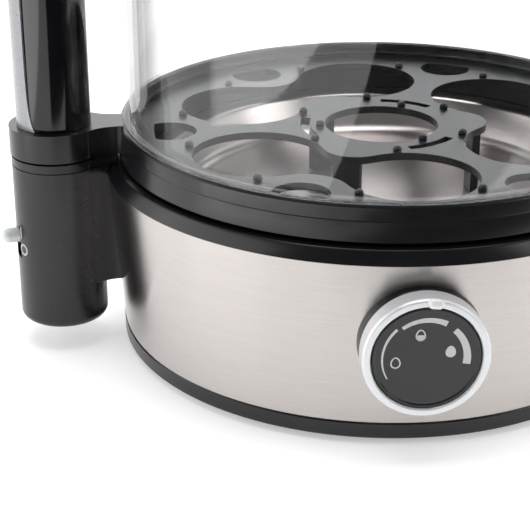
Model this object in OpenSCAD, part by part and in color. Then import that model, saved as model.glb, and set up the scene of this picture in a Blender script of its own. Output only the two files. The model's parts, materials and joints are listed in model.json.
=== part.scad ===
// Seven-egg steam cooker: heated base with a rotary ring control and a side pillar with the
// power switch, lift-out egg tray with a post handle, and a clear lid.
// Millimetres. Z is up, the origin is on the table below the middle of the dish, and the
// control faces -Y. The pillar, the ear of the tray and the handle stand on the -X side.

/* [Base] */
// Height of the rubber feet below the pan
foot_gap = 2; // [1.5:0.1:3]
// Height of the black foot ring of the pan
pan_h = 5.9; // [5.5:0.1:6.5]
// Height of the steel band between foot ring and collar
band_h = 55.8; // [55:0.1:58]
// Outer radius of the steel band at its lower edge
band_bottom_r = 92.6; // [92.2:0.1:93]
// Outer radius of the steel band at its upper edge
band_top_r = 97.2; // [96.8:0.1:98]
// Sheet thickness of the steel band
band_t = 0.6; // [0.5:0.1:0.7]
// Height of the black collar above the steel band
collar_h = 4.5; // [4.2:0.1:5]
// Outer radius of the collar at its top edge
collar_top_r = 95.5; // [95:0.1:96]

/* [Dish] */
// Outer radius of the rolled flange of the dish
dish_r = 83.8; // [83.5:0.1:84]
// Radius of the flat floor of the dish
dish_floor_r = 70; // [66:1:72]
// Depth of the dish floor below its flange
dish_depth = 14; // [12:0.5:15]
// Sheet thickness of the dish
dish_t = 1; // [0.8:0.1:1.2]

/* [Pillar and switch] */
// Distance of the pillar axis from the middle of the base
pillar_x = 114.5; // [114:0.5:116]
// Radius of the pillar
pillar_r = 15.5; // [15:0.1:15.8]
// Half width of the web that joins the pillar to the base
web_half = 6.5; // [6:0.1:7]
// Height of the lower edge of the web
web_z = 24; // [22:0.5:26]
// Height of the pillar bottom
pillar_z = 9; // [8:0.5:10]
// Height of the switch nub when the cooker is on
switch_z = 41.6; // [41:0.1:44]
// Travel of the switch nub from on to off
switch_travel = 5; // [4:0.1:5]
// Radius of the switch nub
nub_r = 2.7; // [2:0.1:2.8]

/* [Control] */
// Height of the control axis
knob_z = 37.7; // [37:0.1:38.5]
// Angle that the control is turned from the front towards the pillar
knob_turn = 2.45; // [0:0.05:5]
// Outer radius of the control ring
knob_r = 19.7; // [19.5:0.1:20]
// Distance of the ring's front face from the middle of the base
knob_front = 107; // [106:0.1:108]
// Depth of the visible side of the ring
knob_side = 7; // [6:0.1:7.5]
// Radius of the printed disc inside the ring
dial_r = 16.7; // [16.4:0.1:16.8]

/* [Egg tray] */
// Gap between collar and tray ring
tray_gap = 0.7; // [0.5:0.1:1]
// Height of the tray ring
ring_h = 12.2; // [12:0.1:12.5]
// Outer radius of the tray ring at its top edge
ring_top_r = 92; // [91.8:0.1:92.3]
// Outer radius of the tray ring at its lower edge
ring_bottom_r = 92.8; // [92.5:0.1:93]
// Distance of the outer egg places from the middle
place_x = 53.8; // [53.5:0.1:54.2]
// Radius of an outer egg place
place_r = 22.4; // [22:0.1:22.6]
// Radius of the middle egg place
middle_r = 20; // [19.5:0.1:20.5]
// Thickness of the rack plate
rack_t = 2.6; // [2.2:0.1:2.8]
// Depth of the rack plate's top below the top of the tray ring
rack_drop = 4.7; // [4.5:0.1:5]

/* [Handle] */
// Radius of the handle post
post_r = 12.6; // [12:0.1:12.8]
// Height of the handle post above the tray
post_h = 84; // [60:1:100]
// Half angle that the silver cover spans round the post
cover_half = 50; // [40:1:60]

/* [Lid] */
// Outer radius of the lid wall
lid_r = 88.5; // [88.3:0.1:88.6]
// Height of the lid above the tray ring
lid_h = 82; // [78:1:95]
// Wall thickness of the lid
lid_t = 2; // [1.6:0.1:2.2]
// Radius of the lid's rounded shoulder
shoulder_r = 24; // [12:1:30]

/* [Hidden] */
$fn = 96;

cut = 1;            // how far a cutting shape passes the surface that it cuts
soft = 0.6;         // chamfer of moulded edges
slip = 0.3;         // gap beside pieces that lift or slide
fit = 0.05;         // radial clearance of a running fit
step = 0.1;         // small step between two arcs that would otherwise just touch

// Heights
z_pan = foot_gap;
z_band = z_pan + pan_h;
z_collar = z_band + band_h;
z_collar_top = z_collar + collar_h;
z_ring = z_collar_top + tray_gap;
z_top = z_ring + ring_h;
z_rack = z_top - rack_drop;
z_floor = z_pan + 2.5;
floor_t = 2;

// Pan, collar and their screws
pan_r = band_bottom_r + 0.3;
rib_r = band_bottom_r - band_t - 0.8;
rib_t = 2.2;
rib_h = 6;
boss_x = 83;
boss_r = 3.9;
screw_r = 1.9;
screw_hole_r = 2.1;
head_r = 2.8;
foot_x = 72;
foot_r = 8;
plug_r = 3;
collar_in_r = 86.4;
seat_r = 84.2;
throat_r = 79;
z_step = z_collar + 0.3;
z_seat = z_step - 1.6;
seat_t = 2;
skirt_r = band_top_r - band_t - 1.2;
skirt_t = 1.4;
skirt_h = 5.5;

// Dish and heater
seal_t = z_step - z_seat - dish_t;
z_dish = z_step - dish_depth;
heat_r = 60;
heat_t = 2.5;
element_x = 48;
element_r = 3.2;
z_heat = z_dish - dish_t - heat_t;
z_element = z_heat - element_r - fit;
strap_x = 80;
strap_w = 14;
strap_t = 1.2;
z_strap = 34;
stud_r = 2.5;

// Pillar
pillar_wall = 2;
pillar_round = 3;    // rounding of the pillar's bottom edge
pillar_fillet = 14;
plug_half = web_half + 4.5;
plug_h = 32;
joint = 0.4;         // depth and height of the groove between pillar and cap
lip_h = 4;           // how deep the cap's lip reaches into the pillar
web_x = 91;          // where the web ends inside the band
z_cap = z_ring - 1.7;
cap_h = 3.2;
ear_r = pillar_r + 0.3;
ear_half = web_half + 0.4;
z_ear = z_ring + 2.3;
ear_wall = 2.5;
switch_turn = 15;   // angle of the switch from the -X direction towards the front
nub_out = 5.7;       // how far the nub stands out of the pillar
slot_half = nub_r + slip;
carriage_x = 10.9;
carriage_t = 1.5;
carriage_w = 8;
carriage_h = 16;
switch_w = 10;
switch_h = 22;
switch_back = 5;

// Cord inlet at the back
inlet_z = 22;
inlet_bore = 3.6;
inlet_r = 6;
inlet_y = band_r(inlet_z);

// Control
bezel_r = knob_r - 0.2;
hub_r = 6;
hub_bore = 4.2;
post_pin_r = 3;
regulator_w = 26;
regulator_back = 75.6;
regulator_front = 87.4;
board_t = 1.6;

marker_turn = 6;    // angle of the ring's marker from the top, clockwise
marker_r = 1.7;
marker_half = 2.6;
lead_r = 1.1;
vent_x = 45;
vent_r = 2.5;

// Parts under the dish
thermostat_r = 8;
thermostat_h = 9;
fuse_r = 3;
fuse_l = 16;
tab_w = 6;
tab_h = 7;
tab_t = 0.8;

// Tray
places = 6;         // egg places round the middle one
line_drop = 5;      // depth below the ring's top of the fine ledge round it
line_t = 0.2;
pin_rise = 0.6;      // height of a pin head's middle above the rack plate

// Tray: the round shapes between two egg places touch the places' edges
half_step = 180 / places;
mid_x = place_x * cos(half_step);
mid_y = place_x * sin(half_step);
tip_x = 37.8;       // reach of the middle ring's tips
lobe_x = 57.2;      // where the rim's lobes begin
tip_c = tangent_c(tip_x + place_r);
lobe_c = tangent_c(lobe_x - place_r);
tip_t = tangent_x(tip_c, tip_x - tip_c);
lobe_t = tangent_x(lobe_c, lobe_c - lobe_x);
gap_half = mid_y * (lobe_c - lobe_t) / (lobe_c - mid_x) + 1;
rack_r = ring_top_r - 3.4;
spokes = [60, 180, 300];
gaps = [0, 120, 240];
window_x = 75;
window_r = 9.5;
window_reach = 80.3;
slit_in = 25.4;
slit_out = 28.6;
slit_half = 20;
leg_x = 33.6;
leg_w = 9.6;
leg_t = 2.8;
ball_r = 1.5;
pin_in = 29.8;
pin_mid = 21.9;
pin_out = 71.3;
pin_spread = 16;

// Centre of a circle on the line between two places that touches both places' edges
function tangent_c(s) = (s * s - place_x * place_x) / (2 * (s - mid_x));
// Where that circle, of radius r, touches a place's edge
function tangent_x(c, r) = c + r * (mid_x - c) / norm([mid_x - c, mid_y]);
function band_r(z) =
    band_bottom_r + (band_top_r - band_bottom_r) * (z - z_band) / band_h;

module tube(r_out, r_in, h) {
    difference() {
        cylinder(r = r_out, h = h);
        translate([0, 0, -cut]) cylinder(r = r_in, h = h + 2 * cut);
    }
}

// Places its children at the given angles, at distance x from the middle
module around(angles, x = 0) {
    for (a = angles) rotate(a) translate([x, 0, 0]) children();
}

// Frame of the control: Z points out of the front, Y up
module at_knob() {
    translate([0, 0, knob_z]) rotate([90, 0, -knob_turn]) children();
}

// Frame of the switch: X points out of the pillar's wall
module at_switch() {
    translate([-pillar_x, 0, 0]) rotate(180 + switch_turn) children();
}

// Outline of pillar, cap and ear: a disc with a filleted neck towards the middle
module neck_outline(r, half, reach) {
    f = pillar_fillet;
    fx = sqrt(pow(r + f, 2) - pow(half + f, 2));
    translate([-pillar_x, 0]) {
        circle(r);
        for (side = [-1, 1]) difference() {
            polygon([[0, 0], [fx, side * (half + f)], [fx, 0]]);
            translate([fx, side * (half + f)]) circle(f - step);
        }
        translate([0, -half]) square([pillar_x - reach, 2 * half]);
    }
}

module base_pan() {
    color("#17171a")
    difference() {
        rotate_extrude() polygon([
            [0, z_floor], [pan_r - 7, z_floor], [pan_r - 4.8, z_pan], [pan_r - soft, z_pan],
            [pan_r, z_pan + soft], [pan_r, z_band - soft], [pan_r - soft, z_band],
            [rib_r, z_band], [rib_r, z_band + rib_h], [rib_r - rib_t, z_band + rib_h],
            [rib_r - rib_t, z_floor + floor_t], [0, z_floor + floor_t]]);
        around([45:90:315], boss_x)
            translate([0, 0, z_floor - cut]) cylinder(r = screw_r + 0.4, h = floor_t + 2 * cut);
        around([0:90:270], foot_x)
            translate([0, 0, z_floor - cut]) cylinder(r = plug_r + fit, h = floor_t + 2 * cut);
        around([22.5:45:337.5])
            translate([30, -1.5, z_floor - cut]) cube([22, 3, floor_t + 2 * cut]);
    }
}

module rubber_feet() {
    color("#2a2a2b")
    around([0:90:270], foot_x) {
        cylinder(r1 = foot_r - soft, r2 = foot_r, h = z_floor);
        translate([0, 0, z_floor]) cylinder(r = plug_r, h = floor_t);
        translate([0, 0, z_floor + floor_t]) cylinder(r1 = plug_r + soft, r2 = plug_r - soft, h = 2);
    }
}

module base_screws() {
    color("#a9abae")
    around([45:90:315], boss_x) {
        translate([0, 0, z_floor - 1.4]) difference() {
            cylinder(r = head_r, h = 1.4);
            for (a = [0, 90]) rotate(a) translate([-2, -0.4, -cut]) cube([4, 0.8, cut + 0.8]);
        }
        translate([0, 0, z_floor]) cylinder(r = screw_r, h = 14);
    }
}

module steel_band() {
    color("#b9b4b0")
    difference() {
        rotate_extrude() polygon([
            [band_bottom_r - band_t, z_band], [band_bottom_r, z_band],
            [band_top_r, z_collar], [band_top_r - band_t, z_collar]]);
        at_knob() cylinder(r = bezel_r + fit, h = 2 * pillar_x);
        translate([0, 0, web_z - fit]) linear_extrude(band_h)
            neck_outline(pillar_r, web_half + fit + step, web_x);
        translate([0, 0, inlet_z]) rotate([-90, 0, 0]) cylinder(r = inlet_r + fit, h = 2 * pillar_x);
    }
}

module top_collar() {
    color("#1c1c1f") {
        difference() {
            rotate_extrude() polygon([
                [throat_r, z_seat], [seat_r, z_seat], [seat_r, z_step], [collar_in_r, z_step],
                [collar_in_r, z_collar_top], [collar_top_r - soft, z_collar_top],
                [collar_top_r, z_collar_top - soft], [band_top_r, z_collar],
                [skirt_r, z_collar], [skirt_r, z_collar - skirt_h],
                [skirt_r - skirt_t, z_collar - skirt_h], [skirt_r - skirt_t, z_seat - seat_t],
                [throat_r, z_seat - seat_t]]);
            translate([-2 * pillar_x, -web_half - slip, z_collar - skirt_h - cut])
                cube([2 * pillar_x - web_x + fit, 2 * (web_half + slip), skirt_h + slip + cut]);
        }
        around([45:90:315], boss_x) translate([0, 0, z_floor + floor_t])
            tube(boss_r, screw_hole_r, z_seat - seat_t / 2 - z_floor - floor_t);
    }
}

module cord_inlet() {
    color("#1f1f21")
    translate([0, 0, inlet_z]) rotate([-90, 0, 0]) rotate_extrude() polygon([
        [inlet_bore, inlet_y - 7], [inlet_r + 2, inlet_y - 7], [inlet_r + 2, inlet_y - 5],
        [inlet_r, inlet_y - 5], [inlet_r, inlet_y + 1.4], [inlet_r + 2.2, inlet_y + 1.4],
        [inlet_r + 2.2, inlet_y + 2.2], [inlet_r + 1, inlet_y + 3.4], [inlet_bore, inlet_y + 3.4]]);
}

module heating_dish() {
    color("#c9c3bf")
    rotate_extrude() polygon([
        [0, z_dish - dish_t], [dish_floor_r, z_dish - dish_t],
        [throat_r - 2 * dish_t, z_step - dish_t - 3], [throat_r - dish_t, z_step - dish_t],
        [dish_r, z_step - dish_t], [dish_r, z_step], [throat_r - 2 * dish_t, z_step],
        [throat_r - 3 * dish_t, z_step - 3], [dish_floor_r - 0.4, z_dish], [0, z_dish]]);
}

module dish_seal() {
    color("#d8d4cc")
    translate([0, 0, z_seat]) tube(seat_r - slip, throat_r + 0.4, seal_t);
}

module heat_plate() {
    color("#b3b6b8") {
        translate([0, 0, z_heat]) cylinder(r = heat_r, h = heat_t);
        translate([0, 0, z_strap + strap_t + 1])
            cylinder(r = stud_r + 2, h = z_heat - z_strap - strap_t - 1);
        translate([0, 0, z_strap - 5]) cylinder(r = stud_r, h = strap_t + 6);
    }
}

module heating_element() {
    color("#8c8a88") {
        translate([0, 0, z_element]) rotate([0, 0, 20])
            rotate_extrude(angle = 320) translate([element_x, 0]) circle(element_r);
        around([20, -20], element_x) translate([0, 0, z_element - 12]) {
            cylinder(r = 1.2, h = 12);
            translate([-tab_w / 2, -tab_t / 2, -tab_h - 1]) cube([tab_w, tab_t, tab_h + 1]);
        }
    }
}

module dish_strap() {
    color("#9a9d9f")
    difference() {
        union() {
            translate([-strap_x, -strap_w / 2, z_strap]) cube([2 * strap_x, strap_w, strap_t]);
            for (x = [-strap_x, strap_x - strap_t]) translate([x, -strap_w / 2, z_strap])
                cube([strap_t, strap_w, z_seat - seat_t - z_strap]);
        }
        translate([0, 0, z_strap - cut]) cylinder(r = stud_r + fit, h = strap_t + 2 * cut);
    }
}

module strap_nut() {
    color("#b5a56a")
    translate([0, 0, z_strap - 4]) difference() {
        cylinder(r = 4.6, h = 4, $fn = 6);
        translate([0, 0, -cut]) cylinder(r = stud_r + fit, h = 4 + 2 * cut);
    }
}

module thermostat() {
    color("#d9d2c4") translate([24, 22, z_heat - thermostat_h]) {
        cylinder(r = thermostat_r, h = thermostat_h);
        for (side = [-1, 1]) translate([(side * thermostat_r - tab_t) / 2, -tab_w / 2, -tab_h])
            cube([tab_t, tab_w, tab_h]);
    }
}

module thermal_fuse() {
    color("#c7c9cb")
    translate([-26, 20, z_heat - fuse_r - 0.4]) rotate([0, 90, 30]) {
        cylinder(r = fuse_r, h = fuse_l, center = true);
        cylinder(r = fuse_r / 4, h = 2 * fuse_l, center = true);
    }
}

// What the collar takes out of the pillar's neck
module collar_space() {
    rotate_extrude() polygon([
        [0, z_collar - fit], [band_top_r + slip, z_collar - fit], [band_top_r + slip, z_collar],
        [collar_top_r + slip, z_collar_top + fit], [0, z_collar_top + fit]]);
}

module pillar_housing() {
    wall = pillar_wall;
    color("#26262a")
    difference() {
        union() {
            translate([-pillar_x, 0, z_cap]) rotate([180, 0, 0]) rotate_extrude()
                dome_section(pillar_r, z_cap - pillar_z, pillar_round);
            translate([0, 0, web_z]) linear_extrude(z_cap - web_z)
                neck_outline(pillar_r, web_half, web_x);
            translate([-web_x, -plug_half, web_z + 2]) cube([2, 2 * plug_half, plug_h]);
        }
        translate([-pillar_x, 0, pillar_z + wall]) cylinder(r = pillar_r - wall, h = z_cap);
        translate([-pillar_x, wall - web_half, web_z + wall])
            cube([pillar_x, 2 * (web_half - wall), z_collar - web_z - 8]);
        collar_space();
        at_switch() translate([pillar_r - 2 * wall, -slot_half, switch_z - switch_travel]) {
            translate([0, 0, -slot_half]) cube([4 * wall, 2 * slot_half, switch_travel + 2 * slot_half]);
        }
    }
}

module pillar_cap() {
    color("#222226")
    difference() {
        union() {
            translate([0, 0, z_cap]) linear_extrude(joint + step)
                neck_outline(pillar_r - joint, web_half - joint, ring_bottom_r + 2 * slip);
            translate([0, 0, z_cap + joint]) linear_extrude(cap_h - joint)
                neck_outline(pillar_r, web_half, ring_bottom_r + 2 * slip);
            translate([-pillar_x, 0, z_cap - lip_h])
                cylinder(r = pillar_r - pillar_wall - fit, h = lip_h + cut);
        }
        collar_space();
        translate([0, 0, z_cap - lip_h - cut])
            cylinder(r = ring_bottom_r + 2 * slip, h = cap_h + lip_h + 2 * cut);
        translate([-pillar_x, 0, z_cap - lip_h - cut])
            cylinder(r = pillar_r - 2 * pillar_wall, h = lip_h);
    }
}

module switch_body() {
    color("#d8d4c8") at_switch() {
        translate([-switch_back, -switch_w / 2, switch_z - switch_travel / 2 - switch_h / 2])
            cube([switch_back + carriage_x - slip, switch_w, switch_h]);
        for (z = [-4, 0, 4])
            translate([-switch_back - tab_h / 2, -tab_w / 4, switch_z + z - (switch_travel + tab_t) / 2])
                cube([tab_h / 2 + cut, tab_w / 2, tab_t]);
    }
}

module switch_nub() {
    color([0.93, 0.95, 0.96, 0.8]) at_switch() translate([carriage_x, 0, switch_z]) {
        translate([0, -carriage_w / 2, -carriage_h / 2]) cube([carriage_t, carriage_w, carriage_h]);
        rotate([0, 90, 0]) cylinder(r = nub_r, h = pillar_r + nub_out - nub_r - carriage_x);
        translate([pillar_r + nub_out - nub_r - carriage_x, 0, 0]) sphere(nub_r);
    }
}

module knob_bezel() {
    back = regulator_front + 0.1;
    front = knob_front - knob_side - 0.4;
    color("#121214")
    at_knob() rotate_extrude() polygon([
        [hub_r + slip, front - 3], [bezel_r - 2, front - 3], [bezel_r - 2, back],
        [bezel_r + 3.2, back], [bezel_r + 3.2, back + 2], [bezel_r, back + 2],
        [bezel_r, front - 0.5], [bezel_r - 0.5, front], [bezel_r - 1.4, front],
        [bezel_r - 1.8, front - 1.4], [hub_r + slip, front - 1.4]]);
}

module knob_ring() {
    back = knob_front - knob_side;
    mouth = dial_r + slip;
    color("#c9cbce")
    at_knob() rotate_extrude() polygon([
        [mouth, back + 1.8], [mouth, knob_front - 0.4], [mouth + 0.4, knob_front],
        [knob_r - 0.6, knob_front], [knob_r, knob_front - 0.8], [knob_r, back],
        [hub_r, back], [hub_r, regulator_back + 5], [hub_bore, regulator_back + 5],
        [hub_bore, back + 1.8]]);
}

module knob_marker() {
    color([0.96, 0.97, 0.98, 0.9])
    at_knob() rotate(-marker_turn) translate([0, knob_r - 1.2, knob_front]) difference() {
        rotate([0, 90, 0]) for (end = [0, 180]) rotate([end, 0, 0]) translate([0, 0, -step])
            rotate_extrude() dome_section(marker_r, marker_half + step, marker_r);
        translate([-2 * marker_half, -2 * marker_half, -4 * marker_half]) cube(4 * marker_half);
    }
}

module dial_disc() {
    face = knob_front - 0.7;
    color("#1d1d20")
    at_knob() rotate_extrude() polygon([
        [0, face - 2], [dial_r, face - 2], [dial_r, face], [dial_r - 0.3, face + 0.3],
        [dial_r - 0.8, face + 0.3], [dial_r - 1.1, face], [0, face]]);
}

module dial_post() {
    color("#9a9d9f")
    at_knob() translate([0, 0, regulator_back])
        cylinder(r = post_pin_r, h = knob_front - 2.7 - regulator_back);
}

module regulator_body() {
    deep = regulator_front - regulator_back;
    color("#3b5c46")
    at_knob() translate([0, 0, regulator_back]) difference() {
        translate([-regulator_w / 2, -regulator_w / 2, 0]) cube([regulator_w, regulator_w, deep]);
        translate([0, 0, 3]) cylinder(r = hub_r + fit, h = deep);
        translate([0, 0, -cut]) cylinder(r = post_pin_r, h = deep);
    }
}

module circuit_board() {
    color("#2f6b3c")
    at_knob() translate([-22, -20, regulator_back - board_t]) cube([44, 35, board_t]);
}

module buzzer() {
    color("#0f0f10")
    at_knob() translate([12, -11, regulator_back - board_t - 8]) tube(6, 1.2, 8);
}

// A lead that runs from point to point
module lead(points) {
    for (i = [0:len(points) - 2]) hull() {
        translate(points[i]) sphere(lead_r, $fn = 8);
        translate(points[i + 1]) sphere(lead_r, $fn = 8);
    }
}

module internal_leads() {
    end_x = element_x * cos(20);
    end_y = element_x * sin(20);
    color("#b4472f") {
        lead([[3, 82, inlet_z], [3, 68, 14], [end_x, 34, 14], [end_x, end_y, 22]]);
        lead([[18, -73.6, 40], [34, -50, 14], [end_x, -end_y - 6, 14], [end_x, -end_y, 22]]);
    }
    color("#3b6fa8") {
        lead([[-3, 82, inlet_z], [-3, 68, 12], [-22, 6, 12], [-22, -60, 16], [-16, -72.1, 26]]);
        lead([[-103, 0, 40], [-86, 0, 40], [-70, 0, 20], [-40, -40, 17], [-19, -72, 22]]);
    }
}

module tray_ring() {
    shelf = z_rack - rack_t;
    skirt = collar_in_r - 2;
    mouth = ring_top_r - 3;
    color("#1a1a1d") {
        difference() {
            union() {
                rotate_extrude() polygon([
                    [skirt, z_step], [skirt + 1.6, z_step], [skirt + 1.6, shelf - 2],
                    [mouth + 1.4, shelf - 2], [mouth + 1.4, z_ring], [ring_bottom_r - soft, z_ring],
                    [ring_bottom_r, z_ring + soft], [ring_top_r + 1.5 * line_t, z_top - line_drop - line_t],
                    [ring_top_r + line_t / 2, z_top - line_drop], [ring_top_r, z_top - 0.8],
                    [ring_top_r - 0.8, z_top], [mouth, z_top], [mouth, shelf], [skirt, shelf]]);
                difference() {
                    translate([0, 0, z_ear]) linear_extrude(z_top - z_ear)
                        neck_outline(ear_r, ear_half, mouth);
                    cylinder(r = mouth + 2, h = 2 * z_top);
                }
            }
            difference() {
                translate([0, 0, z_ear - cut]) linear_extrude(z_top - z_ear - 3 + cut)
                    neck_outline(ear_r - ear_wall, ear_half - ear_wall, ring_bottom_r + 1);
                cylinder(r = ring_bottom_r + 1, h = 2 * z_top);
            }
            translate([-pillar_x, 0, z_ear]) cylinder(r = screw_r + 0.4, h = z_top);
        }
    }
}

module egg_rack() {
    thick = rack_t + 2 * cut;
    color("#26262a") {
        translate([0, 0, z_rack - rack_t]) difference() {
            cylinder(r = rack_r, h = rack_t);
            translate([0, 0, -cut]) {
                cylinder(r = middle_r, h = thick);
                around([half_step:2 * half_step:360], place_x) cylinder(r = place_r, h = thick);
                for (a = gaps) rotate(a) difference() {
                    translate([tip_t, -gap_half, 0]) cube([lobe_t - tip_t, 2 * gap_half, thick]);
                    translate([tip_c, 0, -cut]) cylinder(r = tip_x - tip_c - step, h = 2 * thick);
                    translate([lobe_c, 0, -cut]) cylinder(r = lobe_c - lobe_x - step, h = 2 * thick);
                }
                around([0:60:300]) intersection() {
                    translate([window_x, 0, 0]) cylinder(r = window_r, h = thick);
                    cylinder(r = window_reach, h = thick);
                }
                around(spokes) rotate(-slit_half) rotate_extrude(angle = 2 * slit_half)
                    translate([slit_in, 0]) square([slit_out - slit_in, thick]);
            }
        }
        around(gaps, leg_x) translate([-leg_t / 2, -leg_w / 2, z_dish + slip])
            cube([leg_t, leg_w, z_rack - rack_t / 2 - z_dish - slip]);
    }
}

// The round head of a pin at angle a and distance x, which rests on the plate
module rack_pin(a, x) {
    rotate(a) translate([x, 0, z_rack]) difference() {
        translate([0, 0, pin_rise]) sphere(ball_r, $fn = 32);
        translate([0, 0, -2 * ball_r]) cylinder(r = 2 * ball_r, h = 2 * ball_r);
    }
}

module rack_pins() {
    color("#141416") {
        for (a = [half_step:2 * half_step:360]) {
            rack_pin(a, pin_in);
            for (side = [-1, 1]) rack_pin(a + side * pin_spread, pin_out);
        }
        for (a = spokes) rack_pin(a, pin_mid);
    }
}

module cover_sector(r_in, r_out, half, h) {
    rotate([0, 0, 180 - half]) rotate_extrude(angle = 2 * half)
        translate([r_in, 0]) square([r_out - r_in, h]);
}

module handle_core() {
    round_r = 6;
    color("#161618")
    translate([-pillar_x, 0, z_top]) difference() {
        union() {
            cylinder(r = post_r, h = post_h - round_r);
            rotate_extrude() {
                square([post_r - round_r, post_h]);
                intersection() {
                    translate([post_r - round_r, post_h - round_r]) circle(round_r);
                    translate([0, post_h - round_r - cut]) square(post_r + round_r);
                }
            }
        }
        translate([0, 0, -cut])
            cover_sector(post_r - 0.7, post_r + cut, cover_half + 0.3, post_h - round_r + cut);
        translate([0, 0, -cut]) cylinder(r = screw_hole_r, h = 22);
    }
}

module handle_cover() {
    color("#c4c6c9")
    translate([-pillar_x, 0, z_top]) cover_sector(post_r - 0.6, post_r + 0.4, cover_half, post_h - 6.2);
}

module handle_screw() {
    color("#a9abae")
    translate([-pillar_x, 0, z_top - 5]) {
        cylinder(r = 3.6, h = 2);
        cylinder(r = screw_r, h = 22);
    }
}

// Half section of a domed shell
module dome_section(r, h, round_r) {
    square([r - round_r, h]);
    square([r, h - round_r]);
    intersection() {
        translate([r - round_r, h - round_r]) circle(round_r);
        square([r, h]);
    }
}

module lid_dome() {
    sink = 3.6;
    color([0.85, 0.88, 0.9, 0.35])
    translate([0, 0, z_top]) difference() {
        rotate_extrude() difference() {
            union() {
                translate([0, -sink]) dome_section(lid_r, lid_h + sink, shoulder_r);
                square([ring_top_r - 1, 1.4]);
            }
            translate([0, -sink - cut])
                dome_section(lid_r - lid_t, lid_h + sink + cut - lid_t, shoulder_r - lid_t);
        }
        translate([0, 0, lid_h - lid_t - cut]) {
            cylinder(r = screw_hole_r, h = lid_t + 2 * cut);
            around([90, 270], vent_x) cylinder(r = vent_r, h = lid_t + 2 * cut);
        }
    }
}

module lid_knob() {
    color("#161618")
    translate([0, 0, z_top + lid_h]) difference() {
        rotate_extrude() polygon([
            [0, 0], [11, 0], [10, 1.5], [8.5, 4], [8.5, 9], [15, 13], [17.5, 15.5],
            [17.5, 18], [15.5, 20], [0, 21]]);
        translate([0, 0, -cut]) cylinder(r = screw_hole_r, h = 12);
    }
}

module lid_washer() {
    color("#cfc9bd")
    translate([0, 0, z_top + lid_h - lid_t - 1.2]) tube(8, screw_r + 0.2, 1.2);
}

module lid_screw() {
    color("#a9abae")
    translate([0, 0, z_top + lid_h - lid_t - 3.2]) {
        cylinder(r = 3.6, h = 2);
        cylinder(r = screw_r, h = 13);
    }
}

base_pan();
rubber_feet();
base_screws();
steel_band();
top_collar();
cord_inlet();
heating_dish();
dish_seal();
heat_plate();
heating_element();
dish_strap();
strap_nut();
thermostat();
thermal_fuse();
pillar_housing();
pillar_cap();
switch_body();
switch_nub();
knob_bezel();
knob_ring();
knob_marker();
dial_disc();
dial_post();
regulator_body();
circuit_board();
buzzer();
internal_leads();
tray_ring();
egg_rack();
rack_pins();
handle_core();
handle_cover();
handle_screw();
lid_dome();
lid_knob();
lid_washer();
lid_screw();
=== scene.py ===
import json
import math

import bmesh
import bpy
from mathutils import Matrix, Vector


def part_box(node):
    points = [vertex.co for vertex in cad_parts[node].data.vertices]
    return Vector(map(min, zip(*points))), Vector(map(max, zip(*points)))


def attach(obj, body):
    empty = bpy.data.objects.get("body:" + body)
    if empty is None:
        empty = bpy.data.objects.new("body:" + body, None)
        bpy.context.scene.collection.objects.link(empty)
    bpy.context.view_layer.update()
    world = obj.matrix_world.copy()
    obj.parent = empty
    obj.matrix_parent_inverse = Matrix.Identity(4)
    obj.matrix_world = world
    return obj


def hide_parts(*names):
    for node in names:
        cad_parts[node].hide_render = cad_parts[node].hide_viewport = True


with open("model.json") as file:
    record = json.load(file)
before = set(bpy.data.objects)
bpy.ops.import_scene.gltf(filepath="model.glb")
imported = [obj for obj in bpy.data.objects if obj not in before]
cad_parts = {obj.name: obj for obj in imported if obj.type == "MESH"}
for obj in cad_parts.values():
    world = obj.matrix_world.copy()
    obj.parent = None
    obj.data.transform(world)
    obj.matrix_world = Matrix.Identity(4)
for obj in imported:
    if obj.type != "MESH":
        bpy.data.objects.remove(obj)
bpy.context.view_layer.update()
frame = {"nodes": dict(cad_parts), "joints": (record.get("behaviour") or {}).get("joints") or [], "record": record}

MM = 0.001
ROW_UP = Vector((0, 0, 1))

# Camera: where it stands and the way it looks, in the row frame, and the lens on a 36 mm sensor
CAMERA_PLACE = Vector((-97.5, -499.5, 245.0)) * MM
CAMERA_LOOK = Vector((0.1021, 0.9095, -0.4030))
CAMERA_LENS = 102.1

# Height of the cards over the floor, and the point that the lights are turned to
CARD_HEIGHT = 2 * MM
LIT_POINT = Vector((0, 0, 50)) * MM

# Depth of the printed disc's face behind the front of the control ring
DISC_DEPTH = 0.7 * MM

# Points of a CAD mesh that are closer than this are one, and faces that meet flatter are one face
SLIVER = 0.02 * MM
FLAT_ANGLE = math.radians(0.4)

# Thickness of print, and how far the signs on the pillar stand off its wall
INK = 0.04 * MM
INK_GAP = 0.01 * MM

# The scale's arcs in mm and degrees from the top: radius, start, end, and the width at each end
SCALE_ARCS = ((13.5, -119, -43, 0.4, 0.9), (12.7, -37, 27, 1.1, 1.8), (12.3, 42, 100, 1.9, 2.4))

# The scale's egg signs in mm: width, height and outline
EGG_WIDE = 2.7
EGG_TALL = 3.4
EGG_LINE = 0.42

# The switch's signs: direction on the pillar and height in mm of each, their line, the on sign's
# height and the off sign's radius in mm
ON_SIGN = (-151, 43.4)
OFF_SIGN = (-146.3, 37.5)
SIGN_LINE = 0.75
STROKE_TALL = 4.4
OFF_RADIUS = 1.8

# The handle's silver strip: half angle that it spans, how much it flares at its foot and over
# what height, and its thickness
STRIP_HALF = 47
STRIP_FLARE = 13
STRIP_FLARE_H = 6 * MM
STRIP_THICK = 1.0 * MM

SLOT_OF = {s["node"]: s["material_slot"] for s in frame["record"]["subparts"]}
BODY_OF = {n: b for b, nodes in frame["record"]["behaviour"]["bodies"].items() for n in nodes}


# ---------------------------------------------------------------- node trees

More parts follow.
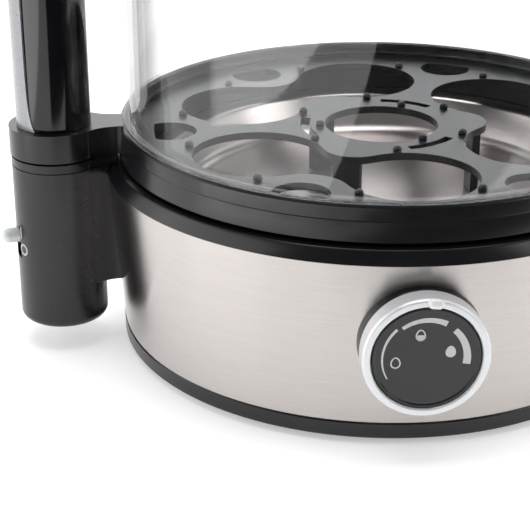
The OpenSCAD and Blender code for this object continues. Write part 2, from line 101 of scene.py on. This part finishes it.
class Tree:
    """A short way to write a node tree."""

    def __init__(self, tree):
        self.tree = tree
        tree.nodes.clear()

    def node(self, kind, inputs=None, **settings):
        """A node of this kind, with its inputs by name or number."""
        made = self.tree.nodes.new(kind)
        for key, value in settings.items():
            setattr(made, key, value)
        for key, value in (inputs or {}).items():
            self.put(made.inputs[key], value)
        return made

    def put(self, socket, value):
        """Links a node or socket into the socket, or sets a constant on it."""
        if isinstance(value, bpy.types.NodeSocket):
            self.tree.links.new(value, socket)
        elif isinstance(value, bpy.types.Node):
            self.tree.links.new(value.outputs[0], socket)
        else:
            socket.default_value = value

    def math(self, operation, *values):
        return self.node("ShaderNodeMath", dict(enumerate(values)), operation=operation)

    def ramp(self, factor, *stops):
        """A colour ramp over (position, grey or colour) stops."""
        made = self.node("ShaderNodeValToRGB", {"Fac": factor})
        elements = made.color_ramp.elements
        while len(elements) < len(stops):
            elements.new(0.5)
        for element, (position, value) in zip(elements, stops):
            element.position = position
            colour = value if isinstance(value, tuple) else (value, value, value)
            element.color = (*colour, 1)
        return made

    def noise(self, vector, scale, detail=3, roughness=0.5):
        return self.node("ShaderNodeTexNoise", {"Vector": vector, "Scale": scale,
                                                "Detail": detail, "Roughness": roughness})

    def mix(self, factor, a, b):
        return self.node("ShaderNodeMix", {0: factor, 6: a, 7: b}, data_type="RGBA")

    def bump(self, height, distance, strength=1.0):
        return self.node("ShaderNodeBump", {"Height": height, "Distance": distance,
                                            "Strength": strength})

    def place(self):
        return self.node("ShaderNodeTexCoord").outputs["Object"]


def new_material(name):
    material = bpy.data.materials.new(name)
    material.use_nodes = True
    return material, Tree(material.node_tree)


def close(tree, shader):
    tree.node("ShaderNodeOutputMaterial", {"Surface": shader})


def moulded(name, colour, rough, grain=0.004, wear=0.10, coat=0.0):
    """Moulded plastic: faint mottling, fine surface grain, uneven gloss and paler worn edges."""
    material, t = new_material(name)
    place = t.place()
    mottle = t.noise(place, 60, 4, 0.6)
    dark = tuple(c * 0.88 for c in colour) + (1,)
    pale = tuple(min(1, c * 1.12) for c in colour) + (1,)
    body = t.mix(t.ramp(mottle, (0.35, 0.0), (0.65, 1.0)), dark, pale)
    edge = t.ramp(t.node("ShaderNodeNewGeometry").outputs["Pointiness"], (0.53, 0.0), (0.60, 1.0))
    worn = tuple(min(1, c * 1.5 + 0.035) for c in colour) + (1,)
    patchy = t.math("MULTIPLY", edge, t.math("MULTIPLY", t.noise(place, 300, 3), wear * 2))
    shade = t.mix(patchy, body.outputs[2], worn)
    scuffs = t.noise(place, 350, 4, 0.6)
    gloss = t.ramp(scuffs, (0.3, rough * 0.96), (0.7, rough * 1.05))
    skin = t.noise(place, 2200, 2)
    relief = t.bump(skin, grain * MM, 0.35)
    surface = t.node("ShaderNodeBsdfPrincipled", {
        "Base Color": shade.outputs[2], "Roughness": gloss, "Normal": relief,
        "IOR": 1.5, "Coat Weight": coat, "Coat Roughness": 0.05})
    close(t, surface)
    return material


def around_grain(t, along, across):
    """A coordinate that is long round the Z axis and short up it, for brushed or turned metal."""
    axes = t.node("ShaderNodeSeparateXYZ", {0: t.place()})
    angle = t.math("ARCTAN2", axes.outputs[1], axes.outputs[0])
    radius = t.node("ShaderNodeVectorMath", {0: t.place()}, operation="LENGTH")
    return t.node("ShaderNodeCombineXYZ", {
        0: t.math("MULTIPLY", angle, along), 1: t.math("MULTIPLY", axes.outputs[2], across),
        2: t.math("MULTIPLY", radius.outputs["Value"], across * 0.02)})


def brushed(name, colour, rough):
    """Sheet metal brushed round the Z axis, with fine streaks and a faint warm clouding."""
    material, t = new_material(name)
    streak = 0.09
    grain = around_grain(t, 5, 2600)
    lines = t.noise(grain, 1, 5, 0.65)
    cloud = t.noise(t.place(), 22, 3)
    low = tuple(c * (1 - streak) for c in colour) + (1,)
    high = tuple(min(1, c * (1 + streak * 0.6)) for c in colour) + (1,)
    streaked = t.mix(t.ramp(lines, (0.3, 0.0), (0.7, 1.0)), low, high)
    warm = tuple(min(1, c * k) for c, k in zip(colour, (1.0, 0.965, 0.945))) + (1,)
    tint = t.math("MULTIPLY", cloud, 0.5)
    shade = t.mix(tint, streaked.outputs[2], warm)
    gloss = t.ramp(t.noise(grain, 2.3, 4, 0.6), (0.25, rough * 0.95), (0.75, rough * 1.05))
    surface = t.node("ShaderNodeBsdfPrincipled", {
        "Base Color": shade.outputs[2], "Metallic": 1.0, "Roughness": gloss,
        "Anisotropic": 0.95, "Anisotropic Rotation": 0.25,
        "Normal": t.bump(lines, 0.0002 * MM, 0.3),
        "Tangent": t.node("ShaderNodeTangent", direction_type="RADIAL", axis="Z")})
    close(t, surface)
    return material


def pressed_steel(name, colour, rough):
    """Satin pressed sheet: soft shallow waves, a water-mark clouding and a fine grain."""
    material, t = new_material(name)
    cloud = t.noise(t.place(), 14, 3)
    grain = t.noise(around_grain(t, 1.2, 500), 1, 3)
    dull = tuple(c * 0.9 for c in colour) + (1,)
    shade = t.mix(t.ramp(cloud, (0.3, 0.0), (0.75, 1.0)), (*colour, 1), dull)
    worn = t.mix(t.ramp(grain, (0.3, 0.0), (0.7, 0.12)), shade.outputs[2], dull)
    gloss = t.ramp(cloud, (0.3, rough * 0.92), (0.7, rough * 1.12))
    waves = t.noise(t.place(), 30, 1)
    surface = t.node("ShaderNodeBsdfPrincipled", {
        "Base Color": worn.outputs[2], "Metallic": 1.0, "Roughness": gloss,
        "Normal": t.bump(waves, 0.004 * MM, 0.3)})
    close(t, surface)
    return material


def lacquered(name, colour, rough):
    """Silver lacquer over plastic: metal flakes, a thin clear coat and slight orange peel."""
    material, t = new_material(name)
    flake = 0.05
    place = t.place()
    flakes = t.node("ShaderNodeTexVoronoi", {"Vector": place, "Scale": 6000.0})
    low = tuple(c * (1 - flake) for c in colour) + (1,)
    high = tuple(min(1, c * (1 + flake)) for c in colour) + (1,)
    sparkle = t.mix(flakes.outputs["Distance"], high, low)
    rub = t.noise(place, 500, 4, 0.65)
    gloss = t.ramp(rub, (0.3, rough * 0.85), (0.75, rough * 1.2))
    peel = t.noise(place, 1500, 2)
    surface = t.node("ShaderNodeBsdfPrincipled", {
        "Base Color": sparkle.outputs[2], "Metallic": 0.4, "Roughness": gloss,
        "Coat Weight": 0.3, "Coat Roughness": 0.12, "Normal": t.bump(peel, 0.003 * MM, 0.4)})
    close(t, surface)
    return material


def clear(name, tint, haze):
    """Clear moulded plastic: see-through, with mirror gloss at a slant and a faint haze."""
    material, t = new_material(name)
    rough, shine = 0.02, 0.6
    place = t.place()
    facing = t.node("ShaderNodeLayerWeight", {"Blend": 0.5}).outputs["Facing"]
    deep = t.ramp(facing, (0.54, tint), (0.66, 0.86), (0.92, 0.66))
    through = t.node("ShaderNodeBsdfTransparent", {"Color": deep})
    smear = t.ramp(t.noise(place, 45, 4, 0.6), (0.35, rough), (0.75, rough * 2.5))
    mirror = t.node("ShaderNodeBsdfGlossy", {"Color": (1, 1, 1, 1), "Roughness": smear,
                                             "Normal": t.bump(t.noise(place, 30, 2), 0.006 * MM)})
    slant = t.math("MULTIPLY_ADD", t.math("POWER", facing, 5.0), shine, 0.035)
    glassy = t.node("ShaderNodeMixShader", {0: slant, 1: through, 2: mirror})
    dust = t.node("ShaderNodeBsdfDiffuse", {"Color": (0.86, 0.87, 0.89, 1)})
    film = t.math("MULTIPLY", t.ramp(t.noise(place, 18, 3), (0.3, 0.6), (0.7, 1.0)), haze)
    close(t, t.node("ShaderNodeMixShader", {0: film, 1: glassy, 2: dust}))
    return material


def rubbery(name, colour, rough=0.7):
    """Rubber and silicone: matt, with bloom, specks and a soft skin."""
    material, t = new_material(name)
    place = t.place()
    bloom = t.noise(place, 150, 4, 0.6)
    dusty = tuple(min(1, c * 1.35 + 0.01) for c in colour) + (1,)
    shade = t.mix(t.ramp(bloom, (0.45, 0.0), (0.75, 0.7)), (*colour, 1), dusty)
    gloss = t.ramp(bloom, (0.3, rough * 0.9), (0.7, min(1, rough * 1.2)))
    surface = t.node("ShaderNodeBsdfPrincipled", {
        "Base Color": shade.outputs[2], "Roughness": gloss,
        "Normal": t.bump(t.noise(place, 2500, 3), 0.01 * MM, 0.6)})
    close(t, surface)
    return material


def plain_metal(name, colour, rough, spots=0.15):
    """Cast or plated metal of the inner pieces: crystalline tone, stains and fine pitting."""
    material, t = new_material(name)
    place = t.place()
    crystals = t.node("ShaderNodeTexVoronoi", {"Vector": place, "Scale": 700.0})
    low = tuple(c * (1 - spots) for c in colour) + (1,)
    shade = t.mix(crystals.outputs["Distance"], (*colour, 1), low)
    stain = t.noise(place, 120, 4, 0.6)
    gloss = t.ramp(stain, (0.3, rough * 0.8), (0.7, rough * 1.4))
    surface = t.node("ShaderNodeBsdfPrincipled", {
        "Base Color": shade.outputs[2], "Metallic": 1.0, "Roughness": gloss,
        "Normal": t.bump(t.noise(place, 3000, 2), 0.004 * MM, 0.5)})
    close(t, surface)
    return material


def printed(name, colour):
    """Screen print: an even coat with slightly uneven cover and a low gloss."""
    material, t = new_material(name)
    place = t.place()
    cover = t.noise(place, 1800, 4, 0.7)
    thin = tuple(c * 0.86 for c in colour) + (1,)
    shade = t.mix(t.ramp(cover, (0.4, 0.0), (0.8, 1.0)), (*colour, 1), thin)
    gloss = t.ramp(cover, (0.3, 0.35), (0.7, 0.5))
    surface = t.node("ShaderNodeBsdfPrincipled", {
        "Base Color": shade.outputs[2], "Roughness": gloss,
        "Normal": t.bump(cover, 0.002 * MM, 0.4)})
    close(t, surface)
    return material


MATERIALS = {
    "black_plastic": moulded("black_plastic", (0.0055, 0.0053, 0.0066), 0.25, grain=0.002, wear=0.04),
    "satin_black": moulded("satin_black", (0.0060, 0.0058, 0.0071), 0.28, grain=0.003, wear=0.03),
    "brushed_steel": brushed("brushed_steel", (0.555, 0.526, 0.511), 0.25),
    "dish_steel": pressed_steel("dish_steel", (0.66, 0.605, 0.59), 0.30),
    "silver_lacquer": lacquered("silver_lacquer", (0.78, 0.79, 0.81), 0.34),
    "clear_plastic": clear("clear_plastic", (0.985, 0.99, 0.992), 0.005),
    "white_clear": moulded("white_clear", (0.80, 0.82, 0.83), 0.12, wear=0.0, coat=0.6),
    "dial_black": moulded("dial_black", (0.012, 0.012, 0.014), 0.20, grain=0.001),
    "rubber_black": rubbery("rubber_black", (0.030, 0.030, 0.031)),
    "silicone": rubbery("silicone", (0.70, 0.67, 0.62), 0.5),
    "zinc_steel": plain_metal("zinc_steel", (0.66, 0.67, 0.69), 0.28),
    "aluminium": plain_metal("aluminium", (0.72, 0.73, 0.74), 0.42),
    "heater_sheath": plain_metal("heater_sheath", (0.40, 0.36, 0.33), 0.38, spots=0.3),
    "ceramic": moulded("ceramic", (0.70, 0.66, 0.58), 0.45, grain=0.01),
    "brass_nut": plain_metal("brass_nut", (0.75, 0.60, 0.32), 0.32),
    "board_green": moulded("board_green", (0.03, 0.16, 0.05), 0.35),
    "lead_insulation": rubbery("lead_insulation", (0.42, 0.05, 0.03), 0.5),
}
GLOSS_BLACK = moulded("gloss_black", (0.005, 0.005, 0.006), 0.09, grain=0.001, wear=0.03)
RACK_BLACK = moulded("rack_black", (0.0045, 0.0045, 0.0052), 0.30, grain=0.003, wear=0.02)
STRIP_SILVER = lacquered("strip_silver", (0.33, 0.335, 0.35), 0.30)
PRINT_GREY = printed("print_grey", (0.62, 0.62, 0.63))
PRINT_WHITE = printed("print_white", (0.55, 0.55, 0.57))
BUMP_CLEAR = moulded("bump_clear", (0.82, 0.83, 0.85), 0.06, grain=0.001, wear=0.0, coat=1.0)


# ------------------------------------------------------------------- meshes

def rounded(corners, steps=5):
    """Points of a closed outline whose (x, y, radius) corners are arcs."""
    points = []
    for i, (x, y, radius) in enumerate(corners):
        here = Vector((x, y))
        before = Vector(corners[i - 1][:2]) - here
        after = Vector(corners[(i + 1) % len(corners)][:2]) - here
        if radius <= 0:
            points.append((x, y))
            continue
        half = before.angle(after) / 2
        reach = min(radius / math.tan(half), 0.49 * before.length, 0.49 * after.length)
        inward = (before.normalized() + after.normalized()).normalized()
        middle = here + inward * (reach / math.cos(half))
        start = here + before.normalized() * reach - middle
        end = here + after.normalized() * reach - middle
        first = math.atan2(start.y, start.x)
        turn = (math.atan2(end.y, end.x) - first + math.pi) % math.tau - math.pi
        for k in range(steps + 1):
            a = first + turn * k / steps
            points.append(tuple(middle + Vector((math.cos(a), math.sin(a))) * start.length))
    return points


def finish_mesh(bm, name, material, sharp=40):
    """Turns bm into a smooth-shaded object whose creases over sharp degrees stay crisp."""
    bmesh.ops.remove_doubles(bm, verts=bm.verts, dist=1e-6)
    bmesh.ops.recalc_face_normals(bm, faces=bm.faces)
    mesh = bpy.data.meshes.new(name)
    bm.to_mesh(mesh)
    bm.free()
    mesh.shade_smooth()
    mesh.set_sharp_from_angle(angle=math.radians(sharp))
    mesh.materials.append(material)
    made = bpy.data.objects.new(name, mesh)
    bpy.context.scene.collection.objects.link(made)
    return made


def add_lathe(bm, outline, place, segments):
    """Adds a closed (radius, height) outline turned about the Z axis of place."""
    rings = []
    for k in range(segments):
        turn = place @ Matrix.Rotation(math.tau * k / segments, 4, "Z")
        rings.append([bm.verts.new(turn @ Vector((max(r, 0), 0, z))) for r, z in outline])
    count = len(outline)
    for k, ring in enumerate(rings):
        other = rings[(k + 1) % segments]
        for i in range(count):
            j = (i + 1) % count
            if outline[i][0] <= 0 and outline[j][0] <= 0:
                continue
            bm.faces.new((ring[i], other[i], other[j], ring[j]))


def settle(piece, node):
    """The piece shows in place of a CAD node, which is hidden, and takes the node's body."""
    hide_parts(node)
    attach(piece, BODY_OF[node])
    return piece


def turned(name, corners, node, material, segments, steps=5):
    """A piece turned about the Z axis, with rounded corners, that stands for a node."""
    bm = bmesh.new()
    bottom = Matrix.Translation((0, 0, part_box(node)[0].z))
    add_lathe(bm, rounded(corners, steps), bottom, segments)
    return settle(finish_mesh(bm, name, material), node)


def bevelled(made, width, segments, limit):
    """Rounds the edges of an object's mesh that are sharper than limit degrees."""
    bevel = made.modifiers.new("edges", "BEVEL")
    bevel.width = width
    bevel.segments = segments
    bevel.limit_method = "ANGLE"
    bevel.angle_limit = math.radians(limit)
    bevel.harden_normals = True
    shape = made.evaluated_get(bpy.context.evaluated_depsgraph_get())
    mesh = bpy.data.meshes.new_from_object(shape)
    old = made.data
    made.modifiers.clear()
    made.data = mesh
    bpy.data.meshes.remove(old)
    mesh.name = made.name
    return made


def eased(name, node, width, material=None, segments=3, limit=34):
    """A copy of a CAD node's shape whose edges over limit degrees are rounded, which stands for
    the node."""
    bm = bmesh.new()
    bm.from_mesh(frame["nodes"][node].data)
    bmesh.ops.remove_doubles(bm, verts=bm.verts, dist=SLIVER)
    bmesh.ops.dissolve_limit(bm, angle_limit=FLAT_ANGLE, verts=bm.verts, edges=bm.edges)
    made = finish_mesh(bm, name, material or MATERIALS[SLOT_OF[node]], sharp=limit)
    return settle(bevelled(made, width, segments, limit), node)


def islands(node):
    """The two box corners of each separate solid of a CAD node."""
    bm = bmesh.new()
    bm.from_mesh(frame["nodes"][node].data)
    bmesh.ops.remove_doubles(bm, verts=bm.verts, dist=1e-6)
    left = set(bm.verts)
    while left:
        group, edge = set(), {left.pop()}
        while edge:
            group |= edge
            edge = {e.other_vert(v) for v in edge for e in v.link_edges} - group
        left -= group
        low = [min(v.co[i] for v in group) for i in range(3)]
        high = [max(v.co[i] for v in group) for i in range(3)]
        yield Vector(low), Vector(high)
    bm.free()


# ------------------------------------------------------------------- pieces

def paint_nodes():
    """Every CAD node that still shows gets its slot's material."""
    for name, item in frame["nodes"].items():
        item.data.materials.clear()
        item.data.materials.append(MATERIALS[SLOT_OF[name]])


def base_pieces():
    """Pan, collar, cord inlet and dish, with softened edges."""
    eased("pan_moulded", "base_pan", 0.5 * MM)
    eased("collar_moulded", "top_collar", 0.35 * MM)
    eased("inlet_moulded", "cord_inlet", 0.4 * MM)
    pressed_dish()


def pressed_dish():
    """The water dish: a flat floor, a soft bend up into the wall, and a flange."""
    low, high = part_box("heating_dish")
    sheet, wide, tall = 1 * MM, high.x, high.z - low.z
    floor, throat = wide * 0.835, wide * 0.925
    corners = [(0, 0, 0), (floor, 0, 7 * MM), (throat, tall - sheet, 1.6 * MM),
               (wide, tall - sheet, 0.4 * MM), (wide, tall, 0.4 * MM),
               (throat - sheet, tall, 2.2 * MM), (floor - sheet / 2, sheet, 6 * MM), (0, sheet, 0)]
    turned("dish_pressed", corners, "heating_dish", MATERIALS["dish_steel"], 256, 10)


def pillar_pieces():
    """Pillar, its cap and the switch nub."""
    eased("pillar_moulded", "pillar_housing", 0.5 * MM)
    eased("pillar_cap_moulded", "pillar_cap", 0.4 * MM)
    eased("nub_moulded", "switch_nub", 0.3 * MM)


def tray_pieces():
    """Tray ring and egg rack."""
    eased("tray_ring_moulded", "tray_ring", 0.5 * MM)
    eased("rack_moulded", "egg_rack", 0.7 * MM, RACK_BLACK, 4)
    rack_pins()


def rack_pins():
    """The rack's pins: a ball that is cut flat where it stands on the plate."""
    steps = 12
    bm = bmesh.new()
    for low, high in islands("rack_pins"):
        middle = (low + high) / 2
        ball = (high.x - low.x) / 2
        rise = high.z - low.z - ball
        outline = [(0, 0)]
        # angle at which the ball is cut: its equator, or below it
        first = math.asin(max(-1.0, min(0.0, -rise / ball)))
        for k in range(steps + 1):
            a = first + (math.pi / 2 - first) * k / steps
            outline.append((ball * math.cos(a), rise + ball * math.sin(a)))
        add_lathe(bm, outline, Matrix.Translation((middle.x, middle.y, low.z)), 28)
    settle(finish_mesh(bm, "pins_moulded", GLOSS_BLACK), "rack_pins")


def handle_pieces():
    """The handle's post and the strip on it."""
    eased("handle_moulded", "handle_core", 0.25 * MM, GLOSS_BLACK)
    handle_strip()


def handle_strip():
    """The silver strip up the outer side of the post, which flares at its foot, where the rows
    of its mesh stand closer."""
    low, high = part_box("handle_cover")
    core_low, core_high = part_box("handle_core")
    axis = (core_low.x + core_high.x) / 2
    outer = axis - low.x
    inner = outer - STRIP_THICK
    rows, columns = 40, 24
    bm = bmesh.new()
    skins = []
    for radius in (outer, inner):
        skin = []
        for i in range(rows + 1):
            up = (i / rows) ** 1.6 * (high.z - low.z)
            half = math.radians(STRIP_HALF + STRIP_FLARE * math.exp(-up / STRIP_FLARE_H))
            row = []
            for k in range(columns + 1):
                a = math.pi + half * (2 * k / columns - 1)
                row.append(bm.verts.new((axis + radius * math.cos(a), radius * math.sin(a),
                                         low.z + up)))
            skin.append(row)
        skins.append(skin)
    out, back = skins
    for i in range(rows):
        for k in range(columns):
            bm.faces.new((out[i][k], out[i][k + 1], out[i + 1][k + 1], out[i + 1][k]))
            bm.faces.new((back[i][k], back[i + 1][k], back[i + 1][k + 1], back[i][k + 1]))
        for k in (0, columns):
            bm.faces.new((out[i][k], out[i + 1][k], back[i + 1][k], back[i][k]))
    for i in (0, rows):
        for k in range(columns):
            bm.faces.new((out[i][k], out[i][k + 1], back[i][k + 1], back[i][k]))
    made = finish_mesh(bm, "strip_lacquered", STRIP_SILVER, sharp=34)
    settle(bevelled(made, 0.3 * MM, 3, 34), "handle_cover")


def lid_pieces():
    """The dome, and the knob: a waisted stem under a wide flat head."""
    eased("lid_moulded", "lid_dome", 0.5 * MM, limit=30)
    low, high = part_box("lid_knob")
    tall = high.z - low.z
    wide = high.x
    corners = [(0, 0, 0), (wide * 0.63, 0, 0.6 * MM), (wide * 0.57, 1.5 * MM, 0.6 * MM),
               (wide * 0.49, 4 * MM, 3 * MM), (wide * 0.49, 9 * MM, 4 * MM),
               (wide, tall * 0.7, 2.2 * MM), (wide, tall * 0.88, 2.6 * MM),
               (wide * 0.6, tall, 8 * MM), (0, tall, 0)]
    turned("lid_knob_moulded", corners, "lid_knob", GLOSS_BLACK, 96)


def knob_frame():
    """The control's own frame: Z out of the front, Y up, the origin on the front face."""
    joint = next(j for j in frame["joints"] if j["child"] == "knob")
    out = -Vector(joint["axis"])
    point = Vector(joint["pos_m"])
    side = ROW_UP.cross(out).normalized()
    turn = Matrix((side, ROW_UP, out)).transposed().to_4x4()
    ring = frame["nodes"]["knob_ring"].data
    front = max((v.co - point).dot(out) for v in ring.vertices)
    return Matrix.Translation(point + out * front) @ turn


def control_pieces():
    """Bezel, ring, marker and disc of the control, and the print on the disc."""
    place = knob_frame()
    eased("bezel_moulded", "knob_bezel", 0.4 * MM)
    eased("ring_lacquered", "knob_ring", 0.35 * MM)
    eased("bump_moulded", "knob_marker", 0.2 * MM, BUMP_CLEAR)
    eased("disc_moulded", "dial_disc", 0.12 * MM)
    dial_print(place)


def ribbon(bm, at, path, widths, thick):
    """Adds a flat raised band along path, where at(x, y, z) maps the print's plane into space."""
    count = len(path)
    rails = []
    for i, (point, width) in enumerate(zip(path, widths)):
        ahead = Vector(path[min(i + 1, count - 1)])
        behind = Vector(path[max(i - 1, 0)])
        if path[0] == path[-1]:
            ahead = Vector(path[(i + 1) % (count - 1)])
            behind = Vector(path[(i - 1) % (count - 1)])
        along = (ahead - behind).normalized()
        side = Vector((-along.y, along.x)) * width / 2
        left, right = Vector(point) + side, Vector(point) - side
        rails.append([bm.verts.new(at(q.x, q.y, z)) for q, z in
                      ((left, 0), (left, thick), (right, thick), (right, 0))])
    for here, there in zip(rails, rails[1:]):
        for k in range(4):
            bm.faces.new((here[k], there[k], there[(k + 1) % 4], here[(k + 1) % 4]))
    if path[0] != path[-1]:
        bm.faces.new(rails[0])
        bm.faces.new(reversed(rails[-1]))


def patch(bm, at, path, thick):
    """Adds a flat raised shape inside a closed path."""
    top = [bm.verts.new(at(x, y, thick)) for x, y in path]
    foot = [bm.verts.new(at(x, y, 0)) for x, y in path]
    bm.faces.new(top)
    for k in range(len(path)):
        bm.faces.new((top[k - 1], foot[k - 1], foot[k], top[k]))


def clock_arc(radius, start, end, steps=28):
    """Points round a circle, from start to end degrees clockwise from the top."""
    angles = [math.radians(start + (end - start) * k / steps) for k in range(steps + 1)]
    return [(radius * math.sin(a), radius * math.cos(a)) for a in angles]


def egg(middle, wide, tall, start=0, end=360, steps=32):
    """An egg's outline, blunt end down, from start to end degrees clockwise from its tip."""
    x, y = middle
    points = []
    for k in range(steps + 1):
        a = math.radians(start + (end - start) * k / steps)
        taper = 1 - 0.16 * math.cos(a)
        points.append((x + wide / 2 * math.sin(a) * taper, y + tall / 2 * math.cos(a)))
    if end - start == 360:
        points[-1] = points[0]
    return points


def dial_print(place):
    """The scale from soft to hard: three arcs that grow wider, and an open, a half-filled
    and a filled egg."""
    face = Vector(place.translation) - Vector(place.col[2][:3]) * DISC_DEPTH
    plane = Matrix.Translation(face) @ place.to_3x3().to_4x4()

    def at(x, y, z):
        return plane @ Vector((x * MM, y * MM, z))

    bm = bmesh.new()
    for radius, start, end, thin, thick in SCALE_ARCS:
        path = clock_arc(radius, start, end)
        widths = [thin + (thick - thin) * k / (len(path) - 1) for k in range(len(path))]
        ribbon(bm, at, path, widths, INK)
    soft, medium, hard = (-9.4, -1.2), (-2.1, 7.8), (7.2, 2.1)
    for middle in (soft, medium):
        path = egg(middle, EGG_WIDE, EGG_TALL)
        ribbon(bm, at, path, [EGG_LINE] * len(path), INK)
    patch(bm, at, egg(medium, EGG_WIDE, EGG_TALL, 90, 270), INK)
    patch(bm, at, egg(hard, EGG_WIDE + EGG_LINE, EGG_TALL + EGG_LINE)[:-1], INK)
    made = finish_mesh(bm, "dial_print", PRINT_GREY, sharp=30)
    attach(made, "base")


def switch_print():
    """The on and off signs beside the switch, printed on the round wall of the pillar."""
    low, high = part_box("pillar_housing")
    radius = -low.y
    axis = low.x + radius

    def on_wall(turn, height):
        def at(x, y, z):
            a = math.radians(turn) + x * MM / radius
            out = radius + INK_GAP + z
            return Vector((axis + out * math.cos(a), out * math.sin(a), height * MM + y * MM))
        return at

    bm = bmesh.new()
    steps = 11
    stroke = [(0, STROKE_TALL * (k / steps - 0.5)) for k in range(steps + 1)]
    ribbon(bm, on_wall(*ON_SIGN), stroke, [SIGN_LINE] * len(stroke), INK)
    ring = clock_arc(OFF_RADIUS, 0, 360, 40)
    ring[-1] = ring[0]
    ribbon(bm, on_wall(*OFF_SIGN), ring, [SIGN_LINE] * len(ring), INK)
    made = finish_mesh(bm, "switch_print", PRINT_WHITE, sharp=30)
    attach(made, "base")


paint_nodes()
base_pieces()
pillar_pieces()
tray_pieces()
handle_pieces()
lid_pieces()
control_pieces()
switch_print()


# -------------------------------------------------------------------- stage

def pale_floor():
    """A pale, faintly uneven paper floor with a slight glow."""
    material, t = new_material("floor_paper")
    tone = t.noise(t.place(), 3, 2)
    shade = t.mix(tone, (0.90, 0.90, 0.90, 1), (0.92, 0.92, 0.92, 1))
    close(t, t.node("ShaderNodeBsdfPrincipled", {
        "Base Color": shade.outputs[2], "Roughness": 0.9, "Specular IOR Level": 0.1,
        "Emission Color": (1, 1, 1, 1), "Emission Strength": 0.42}))
    bm = bmesh.new()
    bmesh.ops.create_grid(bm, x_segments=1, y_segments=1, size=6)
    finish_mesh(bm, "floor", material)


def surroundings():
    """White surroundings that darken overhead, low down and towards the front."""
    world = bpy.data.worlds.new("studio")
    bpy.context.scene.world = world
    world.use_nodes = True
    t = Tree(world.node_tree)
    way = t.node("ShaderNodeSeparateXYZ", {0: t.node("ShaderNodeTexCoord").outputs["Generated"]})
    height = t.ramp(t.math("MULTIPLY_ADD", way.outputs[2], 0.5, 0.5),
                    (0.45, 0.75), (0.62, 1.0), (0.74, 1.0), (0.88, 0.5))
    back = t.ramp(t.math("MULTIPLY_ADD", way.outputs[1], 0.5, 0.5), (0.2, 0.10), (0.75, 1.0))
    sky = t.node("ShaderNodeMix", {0: 1.0, 6: height, 7: back}, data_type="RGBA",
                 blend_type="MULTIPLY")
    lit = t.node("ShaderNodeBackground", {"Color": sky.outputs[2], "Strength": 1.15})
    t.node("ShaderNodeOutputWorld", {"Surface": lit})


def softbox(name, place, size, power):
    """A soft light that is turned towards the object."""
    lamp = bpy.data.lights.new(name, "AREA")
    lamp.shape = "RECTANGLE"
    lamp.size, lamp.size_y = size
    lamp.energy = power
    made = bpy.data.objects.new(name, lamp)
    made.location = place
    made.rotation_euler = (LIT_POINT - Vector(place)).to_track_quat("-Z", "Y").to_euler()
    bpy.context.scene.collection.objects.link(made)


def card(name, middle, half, tone, glow):
    """A card low beside the object, dark or glowing, which only mirror reflections see."""
    material, t = new_material(name)
    weave = t.ramp(t.noise(t.place(), 40, 2), (0.3, tone * 0.8), (0.7, tone))
    close(t, t.node("ShaderNodeBsdfPrincipled", {
        "Base Color": weave, "Roughness": 0.9, "Specular IOR Level": 0.0,
        "Emission Color": (1, 1, 1, 1), "Emission Strength": glow}))
    bm = bmesh.new()
    bmesh.ops.create_grid(bm, x_segments=1, y_segments=1, size=1)
    made = finish_mesh(bm, name, material)
    made.location = (*middle, CARD_HEIGHT)
    made.scale = (*half, 1)
    made.visible_camera = False
    made.visible_diffuse = False
    made.visible_shadow = False
    made.visible_transmission = False


def camera():
    """The fixed camera of the main picture."""
    lens = bpy.data.cameras.new("camera")
    lens.lens = CAMERA_LENS
    lens.sensor_width = 36
    lens.clip_start = 0.01
    made = bpy.data.objects.new("camera", lens)
    made.location = CAMERA_PLACE
    made.rotation_euler = CAMERA_LOOK.to_track_quat("-Z", "Y").to_euler()
    bpy.context.scene.collection.objects.link(made)
    bpy.context.scene.camera = made


pale_floor()
surroundings()
softbox("top_box", (0.0, 0.1, 1.2), (1.2, 1.0), 10)
softbox("left_box", (-1.1, -0.15, 0.45), (1.2, 0.85), 4)
softbox("right_box", (1.2, -0.6, 0.7), (0.7, 0.8), 4)
softbox("back_box", (0.1, 1.5, 0.75), (2.6, 0.8), 5)
card("dark_card", (0.85, -1.26), (1, 1), 0.012, 0.0)
card("bright_card", (-0.68, -0.34), (0.32, 0.28), 0.8, 2.8)
camera()
bpy.context.scene.view_settings.view_transform = "Standard"
